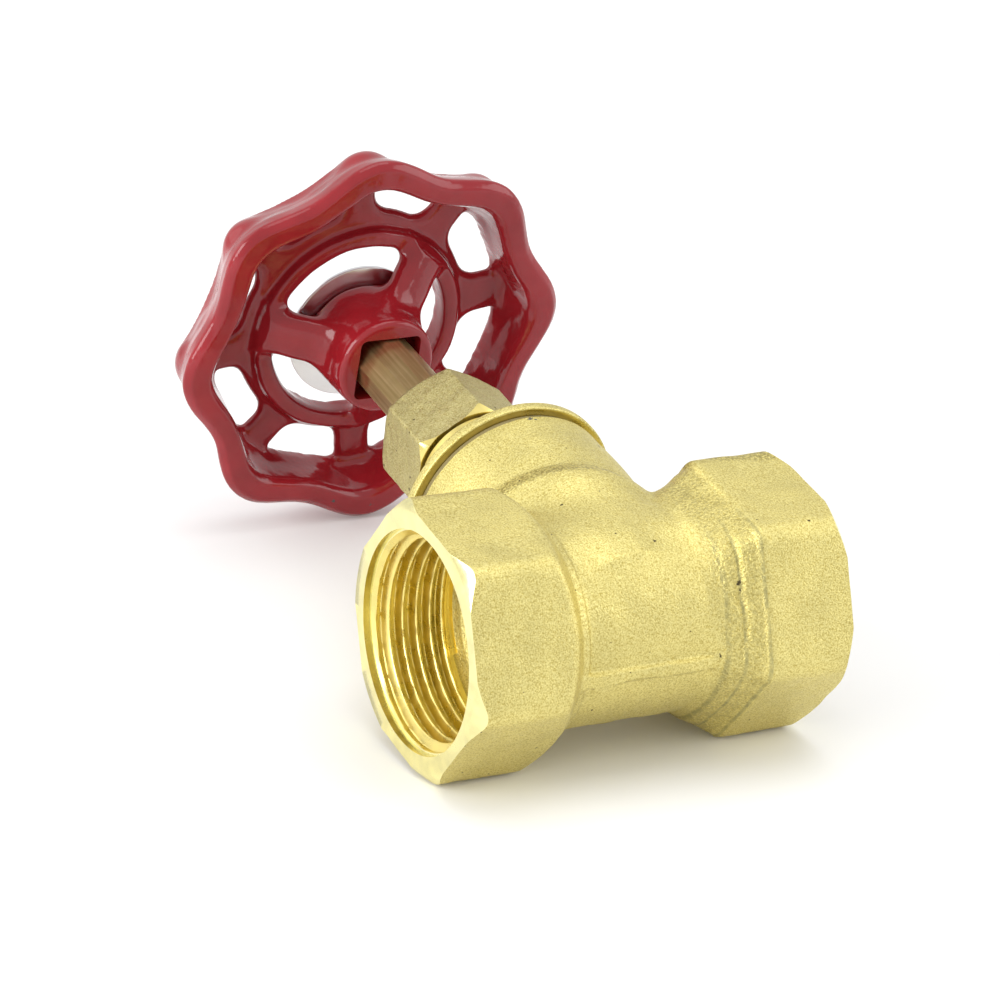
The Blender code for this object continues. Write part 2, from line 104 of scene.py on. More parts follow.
def new_object(name, points, faces, material=None):
    """A closed mesh with its faces turned out."""
    mesh = bpy.data.meshes.new(name)
    mesh.from_pydata(points, [], faces)
    shape = bmesh.new()
    shape.from_mesh(mesh)
    bmesh.ops.recalc_face_normals(shape, faces=shape.faces)
    if shape.calc_volume(signed=True) < 0:
        bmesh.ops.reverse_faces(shape, faces=shape.faces)
    shape.to_mesh(mesh)
    shape.free()
    obj = bpy.data.objects.new(name, mesh)
    bpy.context.scene.collection.objects.link(obj)
    if material:
        mesh.materials.append(material)
    return obj


def combine(obj, other, operation="DIFFERENCE"):
    """Cuts other from obj, joins it or keeps what they share. other is used up."""
    modifier = obj.modifiers.new(operation, "BOOLEAN")
    modifier.operation = operation
    modifier.object = other
    modifier.solver = "MANIFOLD"
    bpy.context.view_layer.update()
    graph = bpy.context.evaluated_depsgraph_get()
    mesh = bpy.data.meshes.new_from_object(obj.evaluated_get(graph))
    kept = list(obj.data.materials)
    obj.modifiers.remove(modifier)
    obj.data = mesh
    mesh.materials.clear()
    for material in kept:
        mesh.materials.append(material)
    mesh.polygons.foreach_set("material_index", np.zeros(len(mesh.polygons), np.int32))
    bpy.data.objects.remove(other, do_unlink=True)


def soften(profile, radius):
    """The profile with each corner but its two ends replaced by a short curve."""
    steps = 3
    points = [profile[0]]
    for before, corner, after in zip(profile, profile[1:], profile[2:]):
        corner = np.array(corner, float)
        ends = []
        for other in (before, after):
            run = np.array(other, float) - corner
            length = np.hypot(*run)
            ends.append(corner + run / length * min(radius, length * 0.45))
        for i in range(steps + 1):
            t = i / steps
            point = ends[0] * (1 - t) ** 2 + corner * 2 * t * (1 - t) + ends[1] * t ** 2
            points.append(tuple(point))
    points.append(profile[-1])
    return points


def lathe(name, profile, material=None, steps=128):
    """A solid turned about Z from (radius, height) points.

    A profile that never meets the axis is closed on itself and makes a ring.
    """
    ring = min(r for r, z in profile) > 0
    angles = np.arange(steps) * 2 * math.pi / steps
    points, rows = [], []
    for r, z in profile:
        if r < 1e-6:
            rows.append([len(points)] * steps)
            points.append((0, 0, z))
        else:
            rows.append(list(range(len(points), len(points) + steps)))
            points += [(r * math.cos(a), r * math.sin(a), z) for a in angles]
    if ring:
        rows.append(rows[0])
    faces = []
    for low, high in zip(rows, rows[1:]):
        for i in range(steps):
            j = (i + 1) % steps
            face = [low[i], low[j], high[j], high[i]]
            faces.append(list(dict.fromkeys(face)))
    return new_object(name, points, [f for f in faces if len(f) > 2], material)


def along_flow(obj, sign):
    """Lays a solid turned about Z along the flow axis, its top towards +X or -X."""
    obj.data.transform(Matrix.Rotation(math.radians(90 * sign), 4, "Y"))
    return obj


# ---- distance fields

BAND = 2.0  # fields are clipped to this many mm on either side of the surface


def cells(low, high, step):
    """The x, y and z of every point of a grid between two corners."""
    axes = [np.arange(a, b + step, step, dtype=np.float32) for a, b in zip(low, high)]
    return np.meshgrid(*axes, indexing="ij")


def solid_of(name, distance, low, step, material=None):
    """The zero surface of a distance field as a closed mesh."""
    grid = openvdb.FloatGrid(BAND)
    grid.copyFromArray(np.clip(distance, -BAND, BAND).astype(np.float32))
    points, quads = grid.convertToQuads(0.0)
    points = points * step + np.array(low)
    return new_object(name, points.tolist(), quads.tolist(), material)


def blend_union(a, b, width):
    """Either shape, with a fillet of about width where they meet."""
    h = np.clip(0.5 + 0.5 * (b - a) / width, 0, 1)
    return b * (1 - h) + a * h - width * h * (1 - h)


def blend_shared(a, b, width):
    """What both shapes share, with its edge rounded over about width."""
    return -blend_union(-a, -b, width)


def polygon(u, v, corners):
    """Distance to a closed outline in the (u, v) plane, below zero inside."""
    nearest = np.full(u.shape, 1e6, np.float32)
    inside = np.zeros(u.shape, bool)
    for (au, av), (bu, bv) in zip(corners, corners[1:] + corners[:1]):
        eu, ev = bu - au, bv - av
        t = np.clip(((u - au) * eu + (v - av) * ev) / (eu * eu + ev * ev), 0, 1)
        nearest = np.minimum(nearest, (u - au - eu * t) ** 2 + (v - av - ev * t) ** 2)
        if ev:
            crosses = ((av > v) != (bv > v)) & (u < eu * (v - av) / ev + au)
            inside ^= crosses
    return np.where(inside, -1, 1) * np.sqrt(nearest)


def ripple(x, y, z, size, seed):
    """Smooth seeded noise between about -1 and 1 whose bumps are size mm wide."""
    waves = 10
    random = np.random.RandomState(seed)
    total = np.zeros(x.shape, np.float32)
    for _ in range(waves):
        direction = random.normal(size=3)
        kx, ky, kz = direction / np.linalg.norm(direction) * math.pi / size
        total += np.sin(kx * x + ky * y + kz * z + random.uniform(0, 2 * math.pi))
    return total / math.sqrt(waves)


def hexagon(u, v, flat, rounding):
    """Distance to a hexagon flat from its middle to each side, with corners on the v axis."""
    sides = [np.abs(u), np.abs(0.5 * u + 0.866 * v), np.abs(0.5 * u - 0.866 * v)]
    distance = sides[0] - flat
    for side in sides[1:]:
        distance = blend_shared(distance, side - flat, rounding)
    return distance


# ---- valve body

def cast_body(material):
    """The rough casting: a tube, two hexagonal ends and a neck, with the marks of its mould."""
    step = 0.43
    low = (-HALF_LENGTH - 1.5, -HEX_FLAT - 2, -HEX_R - 2)
    high = (HALF_LENGTH + 1.5, HEX_FLAT + 2, NECK_TOP + 2)
    x, y, z = cells(low, high, step)
    along = np.abs(x)
    across = np.hypot(y, z)
    around = np.hypot(x, y)

    # the parting seam under the tube, and the band beside the near hexagon
    tube = across - TUBE_R
    seam_rise, seam_half, seam_y = 0.95, 1.1, -0.55
    seam = np.maximum(np.abs(y - seam_y) - seam_half, across - TUBE_R - seam_rise)
    seam = np.maximum(seam, z)
    tube = blend_union(tube, seam, 0.3)
    band_rise, band_half, band_x = 0.62, 1.35, -13.2
    low_side = np.clip((3 - z) / 7, 0, 1)
    band = np.maximum(across - TUBE_R - band_rise * low_side, np.abs(x - band_x) - band_half)
    tube = blend_union(tube, band, 0.4)

    # a rough ramp grows from the tube into a hexagon in front of the far end
    outline = hexagon(y, z, HEX_FLAT, 1.9)
    ramp_start, step_x, crease_x, crease_z = 9.0, 11.2, 14.0, -12.5
    wander = 0.3 * ripple(x, y, z, 3.5, 15)
    grown = np.clip((x - ramp_start) / (HEX_INNER_X - ramp_start), 0, 1)
    slope = (across - TUBE_R) * (1 - grown) + (outline + 0.75) * grown
    slope -= 0.32 * np.clip((x - step_x - wander) / 0.5, 0, 1) * np.clip((2 - z) / 4, 0, 1)
    slope += 0.12 * ripple(x, y, z, 1.9, 14) * grown
    crease_r = 0.5 * np.clip((7 - np.abs(z - crease_z)) / 3, 0, 1)
    crease = np.hypot(x - crease_x - wander, slope) - crease_r
    slope = blend_shared(slope, np.where(y < 0, -crease, -1.0), 0.3)
    ramp_middle, ramp_half = 13.6, 4.0
    slope = np.maximum(slope * 0.9, np.abs(x - ramp_middle) - ramp_half)
    tube = blend_union(tube, slope, 0.3)
    tube = np.maximum(tube, along - HALF_LENGTH - 1)

    # the neck swells below a slanting crease and dies into the tube
    above_crease = z - (16.45 - 0.2 * x)
    neck_r = np.interp(above_crease, [-22, -16, -12, -8, -5, -2.8, 0, 7],
                       [14.6, 15.5, 16.2, 16.9, 17.4, 17.6, 16.7, NECK_R])
    neck_bottom = -6
    neck = np.maximum(around - neck_r, neck_bottom - z)
    neck = np.maximum(neck, z - NECK_TOP - 1)
    distance = blend_union(tube, neck, 3.0 - 2.0 * np.clip(x / 7, 0, 1))

    # the near hexagon ends in a cone and the far one in a flat
    cone = (CONE_X + (across - CONE_R) * CONE_SLOPE - along) / math.hypot(1, CONE_SLOPE)
    cone = np.where(x > 0, HEX_INNER_X - x, cone)
    ends = blend_shared(outline, cone, 0.6)
    ends = np.maximum(ends, along - HALF_LENGTH - 1)
    distance = blend_union(distance, ends, 0.5)
    distance += 0.05 * ripple(x, y, z, 6.0, 11) + 0.03 * ripple(x, y, z, 2.2, 12)
    return solid_of("gate_valve_body", distance, low, step, material)


def thread_radius(phase):
    """Radius of the female thread at a share of its pitch, with a crest at whole numbers."""
    depth = THREAD_MAJOR_R - THREAD_MINOR_R
    away = np.abs((phase + 0.5) % 1 - 0.5) * 2  # 0 on the crest, 1 in the root
    crest, root = 0.10, 0.30
    slope = np.clip((away - crest) / (1 - crest - root), 0, 1)
    return THREAD_MINOR_R + depth * (slope * slope * (3 - 2 * slope) * 0.35 + slope * 0.65)


def bore_cutter(sign):
    """Everything inside one end: counterbore, lead-in, thread, undercut, throat and port."""
    start = HALF_LENGTH - COUNTERBORE_DEPTH
    end = HALF_LENGTH - THREAD_DEPTH
    lead = 3.0
    undercut = 0.5
    fine = THREAD_PITCH / 22
    stations = [HALF_LENGTH + 1, start, start]
    stations += list(np.arange(start - 0.001, end, -fine))
    stations += [end, end - 0.02, end - undercut, end - undercut - 0.02,
                 end - FUNNEL_LENGTH - undercut, -1.0]
    steps = 132
    turn = np.arange(steps) / steps
    points = []
    for index, x in enumerate(stations):
        if index < 2:
            radius = np.full(steps, COUNTERBORE_R)
        elif x >= end:
            depth = start - x
            fade = np.clip((x - end) / (0.9 * THREAD_PITCH), 0, 1)
            cone = COUNTERBORE_R - 0.35 - depth * 0.85
            # the last turn runs out into a plain groove
            radius = thread_radius((x / THREAD_PITCH) - turn)
            groove = THREAD_MAJOR_R - 0.25
            radius = groove + (radius - groove) * fade
            radius = np.maximum(radius, cone) if depth < lead else radius
        elif x > end - undercut - 0.01:
            radius = np.full(steps, FUNNEL_R + (1.8 if x > end - 0.1 else 0.6))
        elif x > end - FUNNEL_LENGTH - 0.4:
            radius = np.full(steps, FUNNEL_R)
        else:
            radius = np.full(steps, PORT_R)
        angle = turn * 2 * math.pi
        points += list(zip(np.full(steps, x), radius * np.cos(angle), radius * np.sin(angle)))
    faces = []
    for row in range(len(stations) - 1):
        for i in range(steps):
            j = (i + 1) % steps
            a, b = row * steps, (row + 1) * steps
            faces.append((a + i, a + j, b + j, b + i))
    faces.append(tuple(range(steps)))
    faces.append(tuple(range(len(points) - steps, len(points))))
    cutter = new_object("bore", points, faces)
    if sign < 0:
        cutter.data.transform(Matrix.Rotation(math.pi, 4, "Z"))
    return cutter


def face_cutter(sign):
    """What is turned off one end: everything past the face, and the hexagon's outer corners."""
    slope = (HEX_R - FACE_R) / FACE_CHAMFER
    deep = 4.0
    profile = [
        (0, HALF_LENGTH + 4), (CLEAR, HALF_LENGTH + 4), (CLEAR, HALF_LENGTH - deep),
        (FACE_R + slope * deep, HALF_LENGTH - deep), (FACE_R, HALF_LENGTH), (0, HALF_LENGTH),
    ]
    return along_flow(lathe("face_cut", profile, steps=192), sign)


def gate_chamber():
    """The slot in which the wedge slides: round below, flat-sided above and tapered like it."""
    wide, thick, taper, top = 11.6, 6.7, 0.08, 12.0
    half_turn = np.linspace(math.pi, 2 * math.pi, 33)
    outline = [(wide * math.cos(a), wide * math.sin(a)) for a in half_turn]
    outline += [(wide, top), (-wide, top)]
    count = len(outline)
    points = [(-(thick + taper * z), y, z) for y, z in outline]
    points += [(thick + taper * z, y, z) for y, z in outline]
    faces = [tuple(range(count)), tuple(range(2 * count - 1, count - 1, -1))]
    faces += [(i, (i + 1) % count, count + (i + 1) % count, count + i) for i in range(count)]
    return new_object("chamber", points, faces)


def neck_cutter():
    """What is turned off and out of the neck: its top, the bonnet's socket and the bore below."""
    socket_low = float(bonnet_low[2]) - 0.3
    socket_r, bore_r, bore_low = 14.9, 13.4, 9
    return lathe("neck_cut", [
        (0, NECK_TOP + 4), (CLEAR, NECK_TOP + 4), (CLEAR, NECK_TOP), (socket_r, NECK_TOP),
        (socket_r, socket_low), (bore_r, socket_low), (bore_r, bore_low), (0, bore_low),
    ])


def assign(obj, rules):
    """Gives each face the finish of the last rule whose test holds there.

    rules are (material index, test), and a test takes the middle's and the normal's x, y and z.
    """
    mesh = obj.data
    count = len(mesh.polygons)
    middle, normal = np.empty(count * 3, np.float32), np.empty(count * 3, np.float32)
    mesh.polygons.foreach_get("center", middle)
    mesh.polygons.foreach_get("normal", normal)
    index = np.zeros(count, np.int32)
    for value, test in rules:
        index[test(*middle.reshape(-1, 3).T, *normal.reshape(-1, 3).T)] = value
    mesh.polygons.foreach_set("material_index", index)


def smooth(obj, angle=40):
    """Smooth shading with sharp edges over an angle and wherever the finish changes."""
    mesh = obj.data
    mesh.shade_smooth()
    mesh.set_sharp_from_angle(angle=math.radians(angle))
    index = np.empty(len(mesh.polygons), np.int32)
    mesh.polygons.foreach_get("material_index", index)
    if index.max() == 0:
        return
    totals = np.empty(len(mesh.polygons), np.int32)
    mesh.polygons.foreach_get("loop_total", totals)
    edges = np.empty(len(mesh.loops), np.int32)
    mesh.loops.foreach_get("edge_index", edges)
    finish = np.repeat(index, totals)
    highest, lowest = np.full(len(mesh.edges), -1), np.full(len(mesh.edges), 99)
    np.maximum.at(highest, edges, finish)
    np.minimum.at(lowest, edges, finish)
    attribute = mesh.attributes.get("sharp_edge")
    if not attribute:
        attribute = mesh.attributes.new("sharp_edge", "BOOLEAN", "EDGE")
    sharp = np.empty(len(mesh.edges), bool)
    attribute.data.foreach_get("value", sharp)
    attribute.data.foreach_set("value", sharp | (highest != lowest))


def place(obj, body, slot, *nodes):
    obj.data.transform(TO_ROW @ Matrix.Scale(MM, 4))
    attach(obj, body)
    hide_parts(*nodes)
    return obj


def make_body(cast, machined, threaded):
    """The casting, machined at its ends, in its sockets and in its neck."""
    body = cast_body(cast)
    for sign in (1, -1):
        combine(body, face_cutter(sign))
    combine(body, neck_cutter())
    combine(body, gate_chamber())
    for sign in (1, -1):
        combine(body, bore_cutter(sign))
    for material in (machined, threaded):
        body.data.materials.append(material)

    slope = (HEX_R - FACE_R) / FACE_CHAMFER
    flatten = 1 / math.hypot(1, slope)

    def turned_off(x, y, z, *normal):
        deep = HALF_LENGTH - np.abs(x)
        cone = np.abs((np.hypot(y, z) - FACE_R) - slope * deep) * flatten
        return (deep < 0.02) | ((cone < 0.03) & (deep < 5)) | (z > NECK_TOP - 0.02)

    def inside(depth):
        """A test for what is inside the ends, less than depth from their faces."""
        def test(x, y, z, *normal):
            deep = HALF_LENGTH - np.abs(x)
            return (np.hypot(y, z) < COUNTERBORE_R + 0.02) & (deep < depth) & (deep > 0.02)
        return test

    assign(body, [(1, turned_off), (2, inside(THREAD_DEPTH + 0.01)),
                  (1, inside(COUNTERBORE_DEPTH + 0.05))])
    smooth(body, 50)
    return place(body, "valve", "cast_brass", "valve_body")


# ---- bonnet

def make_bonnet(cast, machined):
    """A thin round lip, a wrench hexagon, a turned shoulder and the threaded neck for the nut.

    Inside are the bore that the wedge rises into, the stem's bearing and the packing box.
    """
    spigot_r, spigot_low = 14.6, float(bonnet_low[2])
    lip_r, lip_low, lip_top = 17.9, NECK_TOP + 1.3, 33.0
    wrench_corner_r, wrench_top = 13.8, 36.8
    shoulder_r, shoulder_low, shoulder_top = 9.9, 32.1, 43.9
    cast_top = 43.0
    neck_r, neck_top, pitch = 8.3, float(bonnet_high[2]), 1.5
    step = 0.3
    low, high = (-16.5, -16.5, lip_low - 1), (16.5, 16.5, cast_top + 2)
    x, y, z = cells(low, high, step)
    around = np.hypot(x, y)
    shoulder = np.abs(z - (shoulder_low + shoulder_top) / 2) - (shoulder_top - shoulder_low) / 2
    shoulder = np.maximum(around - shoulder_r, shoulder)
    wrench = np.maximum(hexagon(x, y, wrench_corner_r * COS_30, 0.5), z - wrench_top)
    wrench = blend_shared(wrench, lip_low + 0.5 - z, 0.3)
    distance = blend_union(shoulder, wrench, 0.5)
    distance += 0.05 * ripple(x, y, z, 3.0, 21) + 0.03 * ripple(x, y, z, 1.2, 22)
    bonnet = solid_of("bonnet_casting", distance, low, step, cast)
    lip = lathe("lip", soften([
        (0, lip_top), (lip_r, lip_top), (lip_r, lip_low), (0, lip_low),
    ], 0.3), steps=192)
    combine(bonnet, lip, "UNION")

    above = lathe("above", [(0, 60), (CLEAR, 60), (CLEAR, cast_top), (0, cast_top)])
    combine(bonnet, above)
    spigot = lathe("spigot", soften([
        (0, lip_low + 1), (spigot_r, lip_low + 1), (spigot_r, spigot_low), (0, spigot_low),
    ], 0.3))
    combine(bonnet, spigot, "UNION")
    neck = [(0, neck_top), (neck_r - 0.5, neck_top), (neck_r, neck_top - 0.5)]
    z = neck_top - 0.5
    while z - pitch > cast_top + 0.4:
        neck += [(neck_r, z - 0.2), (neck_r - 0.7, z - pitch * 0.55), (neck_r, z - pitch)]
        z -= pitch
    neck += [(neck_r - 0.9, z - 0.2), (neck_r - 0.9, cast_top - 0.5), (0, cast_top - 0.5)]
    combine(bonnet, lathe("box_neck", neck), "UNION")
    packing_r, packing_low = 6.9, 41.4
    bearing_r, bearing_low = 4.6, 38.3
    collar_room_r, collar_room_low = 6.6, 34.4
    wedge_r, wedge_room_top = 12.8, 29.0
    combine(bonnet, lathe("bonnet_inside", [
        (0, neck_top + 1), (packing_r, neck_top + 1), (packing_r, packing_low),
        (bearing_r, packing_low), (bearing_r, bearing_low), (collar_room_r, bearing_low),
        (collar_room_r, collar_room_low), (9.3, 32.0), (wedge_r, wedge_room_top),
        (wedge_r, spigot_low - 1), (0, spigot_low - 1),
    ]))
    turned_r, turned_low = shoulder_r - 0.25, 37.2
    collar = lathe("collar_cut", [
        (turned_r, cast_top + 1), (shoulder_r + 3, cast_top + 1), (shoulder_r + 3, turned_low),
        (turned_r, turned_low),
    ])
    combine(bonnet, collar)
    bonnet.data.materials.append(machined)

    def turned_part(x, y, z, *normal):
        around = np.hypot(x, y)
        lip_face = (z < lip_top + 0.02) & (around < lip_r - 0.25)
        return ((z > turned_low - 0.1) & (around < shoulder_r)) | lip_face

    assign(bonnet, [(1, turned_part)])
    smooth(bonnet, 40)
    return place(bonnet, "valve", "cast_brass", "bonnet")


# ---- packing nut

def make_packing_nut(cast, machined):
    """A cast hexagon, its top corners chamfered softly and its lower ones turned off bright."""
    low_z, high_z = float(nut_low[2]), float(nut_high[2])
    corner_r, turn = 11.36, math.radians(26.6)
    face_r, slope = 10.15, 1.05  # the turned lower chamfer
    stem_r, thread_r, thread_top = 5.7, 8.6, high_z - 2.4
    step = 0.22
    low, high = (-13, -13, low_z - 1.5), (13, 13, high_z + 1.5)
    x, y, z = cells(low, high, step)
    u = x * math.cos(turn) + y * math.sin(turn)
    v = -x * math.sin(turn) + y * math.cos(turn)
    around = np.hypot(x, y)
    distance = hexagon(v, u, corner_r * COS_30, 0.35)
    top = (z - high_z + (around - 9.4) * 0.55) * 0.876
    distance = blend_shared(distance, top, 0.5)
    distance = blend_shared(distance, z - high_z, 0.5)
    distance = np.maximum(distance, low_z - 1 - z)
    distance += 0.035 * ripple(x, y, z, 2.5, 31) + 0.02 * ripple(x, y, z, 1.0, 32)
    nut = solid_of("packing_nut_cast", distance, low, step, cast)
    chamfer = lathe("nut_face", [
        (0, low_z - 3), (CLEAR, low_z - 3), (CLEAR, low_z + (CLEAR - face_r) * slope),
        (face_r, low_z), (0, low_z),
    ], steps=160)
    combine(nut, chamfer)
    combine(nut, lathe("nut_bore", [
        (0, high_z + 1), (stem_r + 0.5, high_z + 1), (stem_r, high_z - 0.4), (stem_r, thread_top),
        (thread_r, thread_top), (thread_r, low_z + 0.6), (thread_r + 0.4, low_z - 1),
        (0, low_z - 1),
    ]))
    nut.data.materials.append(machined)

    def turned_part(x, y, z, *normal):
        around = np.hypot(x, y)
        cone = np.abs(z - low_z - (around - face_r) * slope) / math.hypot(1, slope)
        chamfered = (cone < 0.03) & (around > face_r - 0.1)
        bored = (around < thread_r + 0.42) & (z < high_z - 0.4)
        return chamfered | (z < low_z + 0.02) | bored

    assign(nut, [(1, turned_part)])
    smooth(nut, 45)
    return place(nut, "valve", "cast_brass", "packing_nut")


# ---- handwheel

LOBES = 8
LOBE_TURN = math.radians(-6.5)
LOBE_DEPTH = 3.2
RIDGE_Z, RIM_TOP = 82.2, 92.0
RIM_SHIFT = 1.2  # the rim is cast this far off the hub's centre
RIB_HALF = 3.2
HUB_R = 8.5
HUB_BOTTOM, HUB_TOP = float(wheel_low[2]), 87.7
SPOKES = 3
SPOKE_TURN = math.radians(-51.5)
SPOKE_IN, SPOKE_OUT = 5.3, 17.7
KNUCKLE_R, KNUCKLE_AT, KNUCKLE_Z = 2.5, 30.4, 89.2


def wheel_field(x, y, z):
    """Distance to the handwheel: a lobed rim and its web, an inner ring, three spokes and a hub."""
    hub_x, ring_x = x, x - 0.5 * RIM_SHIFT
    x = x - RIM_SHIFT
    around = np.hypot(x, y)
    angle = np.arctan2(y, x)
    share = (1 + np.cos(LOBES * (angle - LOBE_TURN))) / 2
    depth = LOBE_DEPTH * (1 - 0.2 * np.clip((z - RIDGE_Z) / 10, 0, 1))
    lobed = around + depth * (1 - share) * np.clip((around - 20) / 9, 0, 1)

    rounding = 0.7
    rim = polygon(lobed, z, [
        (28.9, RIM_TOP - 0.7), (29.8, RIM_TOP - 1.4), (31.4, 88.4), (32.9, 85.6),
        (33.6, RIDGE_Z + 1.4), (32.9, RIDGE_Z + 0.75), (30.2, RIDGE_Z + 0.75),
        (29.6, RIDGE_Z + 1.5), (29.0, 87.0), (28.4, RIM_TOP - 1.2),
    ]) - rounding

    # the web, with a window between each two lobes and ragged flash at its outer edge
    web_z, web_half, web_in, web_out = 90.6, 1.2, 16.5, 30.5
    web = np.abs(lobed - (web_in + web_out) / 2) - (web_out - web_in) / 2
    web = np.maximum(np.abs(z - web_z) - web_half, web)
    lean = np.exp(-((np.degrees(angle) + 40) / 45) ** 2)  # here the ribs are cast out of step
    turn = (angle + math.radians(5.3) * lean - LOBE_TURN) % (2 * math.pi / LOBES) - math.pi / LOBES
    side = RIB_HALF + 0.4 * lean - around * np.sin(math.pi / LOBES - np.abs(turn))
    flash = np.clip((z - 88.8) / 1.5, 0, 1)
    edge = (0.30 * ripple(x, y, z, 1.9, 41) + 0.16 * ripple(x, y, z, 0.9, 45)) * flash
    window_in, window_out, off_centre = 20.8, 26.9, 1.0
    window = blend_shared(side, window_in - np.hypot(x + off_centre, y + off_centre), 3.0)
    window = blend_shared(window, around - window_out + edge, 2.4)
    web = blend_shared(web, -window, 1.8)
    distance = blend_union(rim, web, 2.4)

    # the inner ring, also with a ragged top edge
    ring_r, ring_half, ring_z, ring_tall = 17.25, 1.5, 89.95, 2.4
    flash = np.clip((z - 90.5) / 1.5, 0, 1)
    edge = (0.16 * ripple(x, y, z, 2.2, 42) + 0.08 * ripple(x, y, z, 0.9, 46)) * flash
    ring = np.abs(np.hypot(ring_x, y) - ring_r) - ring_half + edge
    ring = blend_shared(ring, np.abs(z - ring_z) - ring_tall, 1.1)
    distance = blend_union(distance, ring, 1.3)

    # the hub widens upwards, and flat oval spokes rise from it to the ring
    hub = np.hypot(hub_x, y) - HUB_R - 0.06 * (z - HUB_BOTTOM)
    ends = np.abs(z - (HUB_TOP + HUB_BOTTOM) / 2) - (HUB_TOP - HUB_BOTTOM) / 2
    hub = blend_shared(hub, ends, 1.2)
    for i in range(SPOKES):
        turn = SPOKE_TURN + i * 2 * math.pi / SPOKES
        u = hub_x * math.cos(turn) + y * math.sin(turn)
        v = -hub_x * math.sin(turn) + y * math.cos(turn)
        middle = 82.0 + 6.0 * (u - 5.5) / 11.5
        flat = blend_shared(np.abs(v) - 3.8, (np.abs(z - middle) - 2.4) * 0.9, 2.2)
        oval = (np.sqrt((v / 4.0) ** 2 + ((z - middle) / 2.6) ** 2) - 1) * 2.5
        length = np.abs(u - (SPOKE_IN + SPOKE_OUT) / 2) - (SPOKE_OUT - SPOKE_IN) / 2
        spoke = np.maximum(0.5 * (flat + oval), length)
        hub = blend_union(hub, spoke, 2.6)
    distance = blend_union(distance, hub, 2.0)

    # a knuckle behind each lobe
    half_turn = math.pi / LOBES
    near = (angle - LOBE_TURN + half_turn) % (2 * half_turn) - half_turn
    kx, ky = around * np.cos(near) - KNUCKLE_AT, around * np.sin(near)
    knuckle = np.sqrt(kx ** 2 + (ky * 0.75) ** 2 + ((z - KNUCKLE_Z) * 0.95) ** 2) - KNUCKLE_R
    distance = blend_union(distance, knuckle, 2.2)
    return distance + 0.06 * ripple(x, y, z, 5.0, 43) + 0.025 * ripple(x, y, z, 2.0, 44)


def make_handwheel(enamel):
    """The enamelled casting, with a square hole that is wider at the bottom of the hub."""
    step = 0.38
    low, high = (-36.5, -36.5, HUB_BOTTOM - 1.5), (37.5, 36.5, float(wheel_high[2]) + 2)
    wheel = solid_of("handwheel_cast", wheel_field(*cells(low, high, step)), low, step, enamel)
    recess_half, hole_half, recess_top = 5.5, 4.05, HUB_BOTTOM + 3.8
    combine(wheel, square_prism("recess", recess_half, HUB_BOTTOM - 2, recess_top, 1.1))
    combine(wheel, square_prism("hole", hole_half, recess_top - 1, HUB_TOP + 2, 0.5))
    smooth(wheel, 60)
    return place(wheel, "wheel_and_stem", "red_enamel", "handwheel")


def square_prism(name, half, low, high, corner):
    """A square column with rounded corners, its sides parallel to X and Y."""
    outline = []
    for cx, cy, start in ((1, 1, 0), (-1, 1, 90), (-1, -1, 180), (1, -1, 270)):
        for i in range(5):
            a = math.radians(start + 22.5 * i)
            outline.append((cx * (half - corner) + corner * math.cos(a),
                            cy * (half - corner) + corner * math.sin(a)))
    count = len(outline)
    points = [(x, y, low) for x, y in outline] + [(x, y, high) for x, y in outline]
    faces = [tuple(range(count - 1, -1, -1)), tuple(range(count, 2 * count))]
    faces += [(i, (i + 1) % count, count + (i + 1) % count, count + i) for i in range(count)]
    return new_object(name, points, faces)


# ---- stem, wedge and fasteners

def make_stem(material):
    """A drawn bar: threaded foot, collar, journal, lengthways facets, square and threaded tail."""
    foot, tail = float(stem_low[2]), float(stem_high[2])
    thread_r, root_r, pitch = 4.2, 3.1, 3.0
    collar_r, journal_r = 6.6, 5.0
    collar_low, collar_high = 41.7, 43.7
    facets_low, facets_high = 57.5, 79.0
    square_half, square_top = 3.75, 87.5
    tail_r, tail_low, tail_pitch = 3.0, 87.6, 0.8
    profile = [(0, foot), (thread_r - 0.8, foot)]
    z = foot + 0.8
    while z + pitch < collar_low - 0.6:
        profile += [(thread_r, z), (thread_r, z + 1.2), (root_r, z + 1.7), (root_r, z + 2.6)]
        z += pitch
    profile += [(thread_r, z), (thread_r, collar_low), (collar_r - 0.2, collar_low),
                (collar_r, collar_low + 0.2), (collar_r, collar_high - 0.2),
                (collar_r - 0.2, collar_high), (journal_r, collar_high),
                (journal_r, facets_low + 0.5), (journal_r, facets_high),
                (tail_r, facets_high), (tail_r, tail_low)]
    z = tail_low
    while z + tail_pitch < tail - 0.5:
        profile += [(tail_r, z + 0.1), (tail_r - 0.4, z + 0.4), (tail_r, z + 0.75)]
        z += tail_pitch
    profile += [(tail_r - 0.5, tail), (0, tail)]
    stem = lathe("valve_stem", profile, material, steps=96)
    combine(stem, faceted_shaft(facets_low, facets_high), "UNION")
    square = square_prism("stem_square", square_half, facets_high - 0.5, square_top, 0.4)
    combine(stem, square, "UNION")
    smooth(stem, 22)
    return place(stem, "wheel_and_stem", "stem_brass", "stem")


def faceted_shaft(low, high):
    """A bar whose facets run along it, of uneven widths."""
    random = np.random.RandomState(5)
    count = 12
    corners = np.cumsum(random.uniform(0.6, 1.4, count))
    corners *= 2 * math.pi / corners[-1]
    end_r, bar_r = 4.9, 5.35
    points = []
    for z, r in ((low, end_r), (low + 0.4, bar_r), (high - 0.5, bar_r), (high, end_r)):
        points += [(r * math.cos(a), r * math.sin(a), z) for a in corners]
    faces = [tuple(range(count - 1, -1, -1)), tuple(range(3 * count, 4 * count))]
    for row in range(3):
        a, b = row * count, (row + 1) * count
        faces += [(a + i, a + (i + 1) % count, b + (i + 1) % count, b + i) for i in range(count)]
    return new_object("shaft", points, faces)


